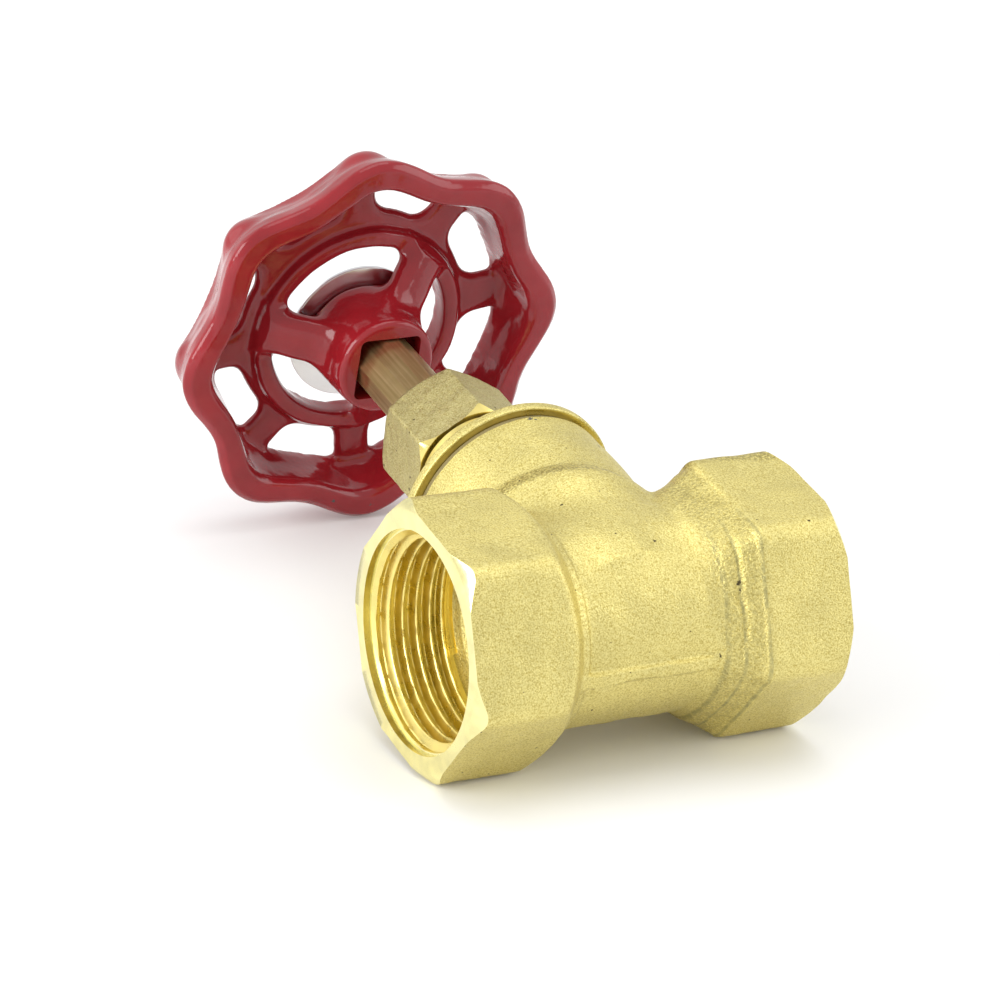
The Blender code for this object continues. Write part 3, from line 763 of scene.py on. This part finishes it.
def make_wedge(material, machined):
    """The gate, with two ground seats, its boss and the hole for the stem's thread."""
    middle, disc_r, half_thick, taper = 21.0, 11.2, 6.4, 0.08
    boss_r, boss_half, bore_r = 6.0, 8.5, 4.5
    step = 0.3
    low, high = (-8.5, -12.5, wedge_low[2] - 1.5), (8.5, 12.5, wedge_high[2] + 1.5)
    x, y, z = cells(low, high, step)
    height = z - middle
    disc = np.hypot(y, height) - disc_r
    cheeks = np.abs(x) - half_thick - taper * height
    wedge = blend_shared(disc, cheeks, 0.8)
    boss = blend_shared(np.hypot(x, y) - boss_r, np.abs(height - boss_half) - boss_half, 0.6)
    distance = blend_union(wedge, boss, 0.8) + 0.02 * ripple(x, y, z, 2.0, 51) + 0.03
    gate = solid_of("wedge_gate_cast", distance, low, step, material)
    above, below = wedge_high[2] + 1, wedge_low[2] - 1
    combine(gate, lathe("gate_bore", [(0, above), (bore_r, above), (bore_r, below), (0, below)]))
    gate.data.materials.append(machined)

    def ground(x, y, z, nx, *normal):
        return (np.abs(nx) > 0.98) | (np.hypot(x, y) < bore_r + 0.05)

    assign(gate, [(1, ground)])
    smooth(gate, 40)
    return place(gate, "gate", "cast_brass", "wedge_gate")


def make_follower(material):
    """The flanged sleeve between the nut and the packing."""
    low, high = reach("gland_follower")
    low, high = low[2], high[2]
    middle, flange_low = (low + high) / 2, high - 1.5
    inner, outer, flange = 5.6, 6.6, 8.0
    profile = soften([
        (inner, middle), (inner, high), (flange, high), (flange, flange_low), (outer, flange_low),
        (outer, low), (inner, low), (inner, middle - 0.01),
    ], 0.25)
    follower = lathe("gland_follower_turned", profile, material, steps=96)
    smooth(follower)
    return place(follower, "valve", "turned_brass", "gland_follower")


def make_gasket(material):
    """A fibrous ring squeezed between the neck and the lip, filling the gap between them; its dark
    olive colour is partly its own and partly painted shade of that gap.
    """
    low, high = reach("bonnet_gasket")
    inner, outer = 14.95, float(high[0])
    squeeze = 0.22
    low, high = low[2] - squeeze, high[2] + squeeze
    middle = (low + high) / 2
    gasket = lathe("bonnet_gasket_ring", soften([
        (inner, middle), (inner, high), (outer, high), (outer, low), (inner, low),
        (inner, middle - 0.01),
    ], 0.15), material)
    smooth(gasket)
    return place(gasket, "valve", "gasket", "bonnet_gasket")


def make_disc(material):
    """A plain pressed aluminium disc with a shallow groove round its edge."""
    low, high = float(disc_low[2]), float(disc_high[2])
    inner, outer = 3.3, float(disc_high[0])
    middle, groove = (low + high) / 2, high - 0.15
    disc = lathe("nameplate_disc_pressed", soften([
        (inner, middle), (inner, high), (outer - 1.6, high), (outer - 1.3, groove),
        (outer - 0.8, groove), (outer - 0.5, high), (outer, high), (outer, low),
        (inner, low), (inner, middle - 0.01),
    ], 0.12), material, steps=160)
    smooth(disc, 50)
    return place(disc, "wheel_and_stem", "disc_metal", "nameplate_disc")


def make_washer(material):
    """A spring washer: a square wire bent into one slightly helical turn."""
    low, high = float(washer_low[2]), float(washer_high[2])
    outer = float(washer_high[0])
    inner, thick = 3.3, (high - low) * 0.72
    turns = np.radians(np.linspace(4, 356, 73))
    rise = (high - low) - thick
    points = []
    for a in turns:
        base = low + rise * a / (2 * math.pi)
        for r, z in ((inner, base), (outer, base), (outer, base + thick), (inner, base + thick)):
            points.append((r * math.cos(a), r * math.sin(a), z))
    faces = [(3, 2, 1, 0), tuple(len(points) - 4 + i for i in range(4))]
    for row in range(len(turns) - 1):
        a, b = 4 * row, 4 * (row + 1)
        faces += [(a + i, a + (i + 1) % 4, b + (i + 1) % 4, b + i) for i in range(4)]
    washer = new_object("spring_washer", points, faces, material)
    bevel = washer.modifiers.new("Bevel", "BEVEL")
    bevel.width, bevel.segments = 0.12, 2
    smooth(washer, 50)
    return place(washer, "wheel_and_stem", "zinc_steel", "wheel_washer")


def make_wheel_nut(material):
    """A plain hexagon nut, chamfered on both faces."""
    low_z, high_z = float(wheel_nut_low[2]), float(wheel_nut_high[2])
    corner_r, chamfer_r, hole_r, mouth_r = 5.77, 4.9, 3.3, 3.9
    step = 0.12
    low, high = (-6.6, -6.6, low_z - 0.7), (6.6, 6.6, high_z + 0.7)
    x, y, z = cells(low, high, step)
    around = np.hypot(x, y)
    distance = hexagon(y, x, corner_r * COS_30, 0.15)
    past_end = np.abs(z - (low_z + high_z) / 2) - (high_z - low_z) / 2
    distance = blend_shared(distance, (past_end + (around - chamfer_r) * 0.5) * 0.894, 0.15)
    distance = blend_shared(distance, past_end, 0.15)
    nut = solid_of("wheel_nut_hex", distance, low, step, material)
    combine(nut, lathe("tapped_hole", [
        (0, high_z + 1), (mouth_r, high_z + 0.2), (hole_r, high_z - 0.5), (hole_r, low_z + 0.5),
        (mouth_r, low_z - 0.2), (0, low_z - 1),
    ]))
    smooth(nut, 35)
    return place(nut, "wheel_and_stem", "zinc_steel", "wheel_nut")


# ---- materials

def shader_of(name):
    material = bpy.data.materials.new(name)
    material.use_nodes = True
    tree = material.node_tree
    return material, tree, tree.nodes["Principled BSDF"]


def link(tree, out, into):
    tree.links.new(out, into)


def in_mm(tree):
    """The point in the valve frame, in millimetres."""
    coordinates = tree.nodes.new("ShaderNodeTexCoord")
    mapping = tree.nodes.new("ShaderNodeMapping")
    mapping.vector_type = "TEXTURE"
    mapping.inputs["Location"].default_value = TO_ROW.translation
    mapping.inputs["Rotation"].default_value = TO_ROW.to_euler()
    mapping.inputs["Scale"].default_value = (MM, MM, MM)
    link(tree, coordinates.outputs["Object"], mapping.inputs["Vector"])
    return mapping.outputs["Vector"]


def noise(tree, point, size, detail=2.0):
    """Noise whose grains are size mm across."""
    node = tree.nodes.new("ShaderNodeTexNoise")
    node.inputs["Scale"].default_value = 1 / size
    node.inputs["Detail"].default_value = detail
    link(tree, point, node.inputs["Vector"])
    return node.outputs["Fac"]


def ramp(tree, factor, *stops):
    """A colour ramp through (position, colour or grey) stops."""
    node = tree.nodes.new("ShaderNodeValToRGB")
    elements = node.color_ramp.elements
    while len(elements) < len(stops):
        elements.new(0.5)
    for element, (position, color) in zip(elements, stops):
        element.position = position
        if not isinstance(color, tuple):
            color = (color, color, color)
        element.color = (*color, 1)
    link(tree, factor, node.inputs["Fac"])
    return node.outputs["Color"]


def mix(tree, factor, a, b, mode="MIX"):
    node = tree.nodes.new("ShaderNodeMix")
    node.data_type = "RGBA"
    node.blend_type = mode
    for name, value in (("Factor", factor), ("A", a), ("B", b)):
        socket = node.inputs[name]
        if isinstance(value, bpy.types.NodeSocket):
            link(tree, value, socket)
        elif socket.type == "RGBA":
            socket.default_value = (*value, 1)
        else:
            socket.default_value = value
    return node.outputs["Result"]


def bump(tree, shader, *layers):
    """Chains bumps onto the shader. layers: (height, depth in mm)."""
    normal = None
    for height, depth in layers:
        node = tree.nodes.new("ShaderNodeBump")
        node.inputs["Strength"].default_value = 1.0
        node.inputs["Distance"].default_value = depth * MM
        link(tree, height, node.inputs["Height"])
        if normal:
            link(tree, normal, node.inputs["Normal"])
        normal = node.outputs["Normal"]
    link(tree, normal, shader.inputs["Normal"])


def split_xyz(tree, point):
    node = tree.nodes.new("ShaderNodeSeparateXYZ")
    link(tree, point, node.inputs[0])
    return [node.outputs[a] for a in "XYZ"]


def math_node(tree, operation, a, b=0.0):
    node = tree.nodes.new("ShaderNodeMath")
    node.operation = operation
    for socket, value in zip(node.inputs, (a, b)):
        if isinstance(value, bpy.types.NodeSocket):
            link(tree, value, socket)
        else:
            socket.default_value = value
    return node.outputs[0]


def mark(tree, point, at, size):
    """1 within about size mm of a place, with a ragged edge, and 0 beyond."""
    far = tree.nodes.new("ShaderNodeVectorMath")
    far.operation = "DISTANCE"
    link(tree, point, far.inputs[0])
    far.inputs[1].default_value = at
    span = size * 4
    ragged = math_node(tree, "MULTIPLY", noise(tree, point, 0.45), span)
    ragged = math_node(tree, "ADD", far.outputs["Value"], ragged)
    return ramp(tree, math_node(tree, "DIVIDE", ragged, span), (0.62, 1.0), (0.68, 0.0))


def cast_brass(name, tint=(0.69, 0.60, 0.228), roughness=0.48, grain=0.06, marks=()):
    """Sand-blasted brass: fine sparkle, coarser and darker brown under the neck and on the far
    ramp, with painted shade in three creases low on the far ramp.

    marks are (place, size, colour) of single spots: dirt, pits, and painted shade deep in the far
    ramp's crease.
    """
    material, tree, shader = shader_of(name)
    point = in_mm(tree)
    fine = noise(tree, point, 0.24, 1.0)
    coarse = noise(tree, point, 0.45)
    cloud = noise(tree, point, 7.0)
    pits = noise(tree, point, 0.9, 0.0)

    # positions as shares of 20 mm: the saddle under the neck's crease, and the far ramp
    span = 20.0
    x, _, z = split_xyz(tree, point)
    slant = math_node(tree, "ADD", z, math_node(tree, "MULTIPLY", x, 0.2))
    saddle = ramp(tree, math_node(tree, "DIVIDE", slant, span),
                  (0.64, 0.0), (0.71, 1.0), (0.815, 1.0), (0.835, 0.0))
    ramp_zone = ramp(tree, math_node(tree, "DIVIDE", x, span),
                     (0.50, 0.0), (0.58, 0.5), (0.82, 0.5), (0.87, 0.0))
    below = ramp(tree, math_node(tree, "DIVIDE", z, -span), (0.05, 0.0), (0.4, 1.0))
    # painted shade: three narrow bands at the far ramp's creases (x about 11.6, 14 and 17.2),
    # stronger lower down
    crease_shade = ramp(tree, math_node(tree, "DIVIDE", x, span),
                  (0.555, 0.0), (0.568, 1.0), (0.59, 0.6), (0.605, 0.0),
                  (0.685, 0.0), (0.695, 1.0), (0.706, 1.0), (0.72, 0.0),
                  (0.845, 0.0), (0.855, 1.0), (0.87, 1.0), (0.878, 0.0))
    crease_shade = mix(tree, 1.0, crease_shade, below, "MULTIPLY")
    rough_zone = mix(tree, 1.0, saddle, ramp_zone, "LIGHTEN")

    dark = tuple(c * 0.94 for c in tint)
    pale = tuple(min(1, c * 1.04) for c in tint)
    tone = ramp(tree, cloud, (0.3, dark), (0.5, tint), (0.7, pale))
    speck = ramp(tree, fine, (0.30, (0.74, 0.68, 0.50)), (0.5, (1.0, 1.0, 1.0)),
                 (0.70, (1.16, 1.18, 1.30)))
    color = mix(tree, 1.0, tone, speck, "MULTIPLY")
    # darker brown speckle over the coarse zones: the saddle under the neck's crease and the far
    # ramp
    brown_speckle = mix(tree, 1.0, rough_zone, ramp(tree, coarse, (0.40, 1.0), (0.60, 0.0)), "MULTIPLY")
    brown = (tint[0] * 0.45, tint[1] * 0.42, tint[2] * 0.32)
    color = mix(tree, math_node(tree, "MULTIPLY", brown_speckle, 0.75), color, brown)
    # the painted crease shade, broken up by noise, turns the colour olive there
    crease_shade_patches = ramp(tree, noise(tree, point, 1.6, 3.0), (0.35, 1.0), (0.65, 0.25))
    crease_shade_patches = mix(tree, 1.0, crease_shade, crease_shade_patches, "MULTIPLY")
    crease_shade_olive = (tint[0] * 0.5, tint[1] * 0.52, tint[2] * 0.6)
    color = mix(tree, math_node(tree, "MULTIPLY", crease_shade_patches, 0.8), color, crease_shade_olive)
    pit = ramp(tree, pits, (0.85, 0.0), (0.865, 1.0))
    color = mix(tree, pit, color, (0.10, 0.075, 0.03))
    for at, size, shade in marks:
        color = mix(tree, mark(tree, point, at, size), color, shade)
    link(tree, color, shader.inputs["Base Color"])
    shader.inputs["Metallic"].default_value = 1.0
    rough = ramp(tree, coarse, (0.3, roughness - 0.08), (0.7, roughness + 0.1))
    link(tree, rough, shader.inputs["Roughness"])
    lumps = mix(tree, rough_zone, (0.5, 0.5, 0.5), coarse)
    bump(tree, shader, (lumps, grain * 4.5), (coarse, grain * 1.2), (fine, grain))
    return material


def machined_brass(name, tint, roughness, axis):
    """Brass off the lathe: fine rings round the axis, X or Z, and light staining."""
    material, tree, shader = shader_of(name)
    point = in_mm(tree)
    parts = dict(zip("XYZ", split_xyz(tree, point)))
    along = parts.pop(axis)
    across = tree.nodes.new("ShaderNodeCombineXYZ")
    for part, socket in zip(parts.values(), across.inputs):
        link(tree, part, socket)
    radius = tree.nodes.new("ShaderNodeVectorMath")
    radius.operation = "LENGTH"
    link(tree, across.outputs[0], radius.inputs[0])
    rings_at = tree.nodes.new("ShaderNodeCombineXYZ")
    link(tree, radius.outputs["Value"], rings_at.inputs[0])
    link(tree, along, rings_at.inputs[1])
    rings = noise(tree, rings_at.outputs[0], 0.14, 1.0)
    cloud = noise(tree, point, 3.0, 3.0)
    dark = tuple(c * 0.86 for c in tint)
    color = ramp(tree, cloud, (0.35, dark), (0.6, tint))
    link(tree, color, shader.inputs["Base Color"])
    shader.inputs["Metallic"].default_value = 1.0
    rough = ramp(tree, cloud, (0.3, roughness * 0.8), (0.7, roughness * 1.4))
    link(tree, rough, shader.inputs["Roughness"])
    bump(tree, shader, (rings, 0.01))
    return material


def stem_brass(name):
    """Golden brown drawn bar with draw lines along it."""
    material, tree, shader = shader_of(name)
    point = in_mm(tree)
    stretch = tree.nodes.new("ShaderNodeVectorMath")
    stretch.operation = "MULTIPLY"
    stretch.inputs[1].default_value = (1, 1, 0.04)
    link(tree, point, stretch.inputs[0])
    lines = noise(tree, stretch.outputs[0], 0.5)
    cloud = noise(tree, point, 4.0, 3.0)
    color = ramp(tree, lines, (0.3, (0.54, 0.47, 0.20)), (0.52, (0.64, 0.57, 0.26)),
                 (0.75, (0.78, 0.71, 0.36)))
    color = mix(tree, ramp(tree, cloud, (0.5, 0.0), (0.8, 0.3)), color, (0.38, 0.30, 0.13))
    link(tree, color, shader.inputs["Base Color"])
    shader.inputs["Metallic"].default_value = 1.0
    shader.inputs["Roughness"].default_value = 0.33
    bump(tree, shader, (lines, 0.012))
    return material


def red_enamel(name, marks=()):
    """Thick glossy dipped enamel. marks are (place, size, colour) of chips down to the iron."""
    material, tree, shader = shader_of(name)
    point = in_mm(tree)
    cloud = noise(tree, point, 8.0)
    flow = noise(tree, point, 2.2)
    color = ramp(tree, cloud, (0.3, (0.22, 0.009, 0.013)), (0.7, (0.29, 0.013, 0.019)))
    for at, size, shade in marks:
        color = mix(tree, mark(tree, point, at, size), color, shade)
    link(tree, color, shader.inputs["Base Color"])
    shader.inputs["Roughness"].default_value = 0.12
    shader.inputs["Specular IOR Level"].default_value = 0.42
    shader.inputs["Coat Weight"].default_value = 0.1
    shader.inputs["Coat Roughness"].default_value = 0.04
    bump(tree, shader, (flow, 0.09))
    return material


def plain(name, color, roughness, metallic, grain, spread=0.12, depth=0.02):
    """A finish with a little mottling and grain."""
    material, tree, shader = shader_of(name)
    point = in_mm(tree)
    fine = noise(tree, point, grain)
    dark = tuple(c * (1 - spread) for c in color)
    pale = tuple(min(1, c * (1 + spread)) for c in color)
    link(tree, ramp(tree, fine, (0.3, dark), (0.7, pale)), shader.inputs["Base Color"])
    shader.inputs["Metallic"].default_value = metallic
    rough = ramp(tree, fine, (0.3, roughness * 0.85), (0.7, min(1, roughness * 1.15)))
    link(tree, rough, shader.inputs["Roughness"])
    bump(tree, shader, (fine, depth))
    return material


# ---- stage

def make_floor():
    half = 3.0
    points = [(-half, -half, 0), (half, -half, 0), (half, half, 0), (-half, half, 0)]
    mesh = bpy.data.meshes.new("floor")
    mesh.from_pydata(points, [], [(0, 1, 2, 3)])
    floor = bpy.data.objects.new("floor", mesh)
    bpy.context.scene.collection.objects.link(floor)
    material, _, shader = shader_of("floor_white")
    shader.inputs["Base Color"].default_value = (0.85, 0.85, 0.85, 1)
    shader.inputs["Roughness"].default_value = 0.7
    shader.inputs["Specular IOR Level"].default_value = 0.2
    mesh.materials.append(material)


def area_light(name, at, size, power):
    """A white softbox, size across and high in metres, turned towards the valve."""
    data = bpy.data.lights.new(name, "AREA")
    data.shape = "RECTANGLE"
    data.size, data.size_y = size
    data.energy = power
    light = bpy.data.objects.new(name, data)
    bpy.context.scene.collection.objects.link(light)
    light.location = at
    valve = Vector((0, 0, 0.03))
    light.rotation_euler = (valve - Vector(at)).to_track_quat("-Z", "Y").to_euler()


def make_lights():
    world = bpy.data.worlds.new("studio")
    bpy.context.scene.world = world
    world.use_nodes = True
    background = world.node_tree.nodes["Background"]
    background.inputs["Color"].default_value = (1, 1, 1, 1)
    background.inputs["Strength"].default_value = 0.88
    area_light("softbox_top", (0.1, 0.0, 0.9), (0.7, 0.7), 2.4)
    area_light("softbox_left", (-0.95, -0.1, 0.4), (0.7, 0.6), 7.4)
    area_light("softbox_right", (0.85, -0.4, 0.45), (0.7, 0.6), 2.3)
    area_light("softbox_back", (-0.6, 0.6, 0.5), (0.7, 0.6), 0.9)


def make_camera():
    """Stands where the valve's end is seen from its left, a little above it."""
    azimuth, elevation, roll = math.radians(30.05), math.radians(22.41), math.radians(4.9)
    data = bpy.data.cameras.new("camera")
    data.lens, data.sensor_width = 139.8, 36
    at = TO_ROW @ Vector((-0.2821, -0.3076, -0.4092))
    camera = bpy.data.objects.new("camera", data)
    bpy.context.scene.collection.objects.link(camera)
    turn = Matrix.Rotation(-azimuth, 4, "Z")
    turn = turn @ Matrix.Rotation(math.radians(90) - elevation, 4, "X")
    turn = turn @ Matrix.Rotation(roll, 4, "Z")
    camera.matrix_world = Matrix.Translation(at) @ turn
    bpy.context.scene.camera = camera


# ---- the valve

def main():
    make_camera()
    make_lights()
    make_floor()
    bpy.context.scene.view_settings.view_transform = "Standard"

    grey, dark_spot = (0.16, 0.16, 0.15), (0.10, 0.08, 0.04)
    # grey spots are dirt by the neck's top; of the dark spots, the two at x 14 paint shade deep in
    # the far ramp's crease, and the other two are dark spots low on the tube
    cast = cast_brass("cast_brass", marks=[
        ((-0.3, -17.0, 29.7), 0.5, grey), ((0.4, -17.0, 29.2), 0.35, grey),
        ((3.2, -15.4, -4.4), 0.28, dark_spot), ((10.5, -2.0, -16.8), 0.35, dark_spot),
        ((13.9, -11.6, -12.7), 0.5, dark_spot), ((14.1, -10.6, -13.5), 0.35, dark_spot),
    ])
    nut_cast = cast_brass("khaki_cast_brass", (0.51, 0.45, 0.205), 0.5)
    faced = machined_brass("faced_brass", (0.96, 0.88, 0.42), 0.2, "X")
    threaded = machined_brass("threaded_brass", (0.96, 0.80, 0.27), 0.28, "X")
    turned = machined_brass("turned_brass", (0.86, 0.72, 0.25), 0.3, "Z")
    bar = stem_brass("stem_brass")
    iron = (0.055, 0.05, 0.05)
    enamel = red_enamel("red_enamel", marks=[
        ((-8.6, -31.6, 82.3), 0.5, iron), ((-7.9, -31.7, 82.3), 0.35, iron),
        ((5.0, 31.2, 82.3), 0.45, iron), ((-2.4, 29.6, 82.3), 0.35, iron),
    ])
    # dark olive: the gasket's own colour and painted shade in the gap under the bonnet's lip
    fibre = plain("gasket_fibre", (0.24, 0.195, 0.085), 0.6, 0.0, 0.3)
    packing = plain("packing_white", (0.82, 0.81, 0.77), 0.6, 0.0, 0.4)
    aluminium = plain("disc_aluminium", (0.80, 0.80, 0.81), 0.22, 1.0, 2.5, 0.04, 0.01)
    steel = plain("zinc_steel", (0.62, 0.62, 0.64), 0.3, 1.0, 0.5, 0.08)

    make_body(cast, faced, threaded)
    make_bonnet(cast, turned)
    make_gasket(fibre)
    make_packing_nut(nut_cast, turned)
    make_follower(turned)
    make_stem(bar)
    make_wedge(cast, turned)
    make_handwheel(enamel)
    make_disc(aluminium)
    make_washer(steel)
    make_wheel_nut(steel)
    for node, material in (("packing_washer", turned), ("packing_ring_1", packing),
                           ("packing_ring_2", packing), ("packing_ring_3", packing)):
        mesh = frame["nodes"][node].data
        mesh.materials.clear()
        mesh.materials.append(material)


main()
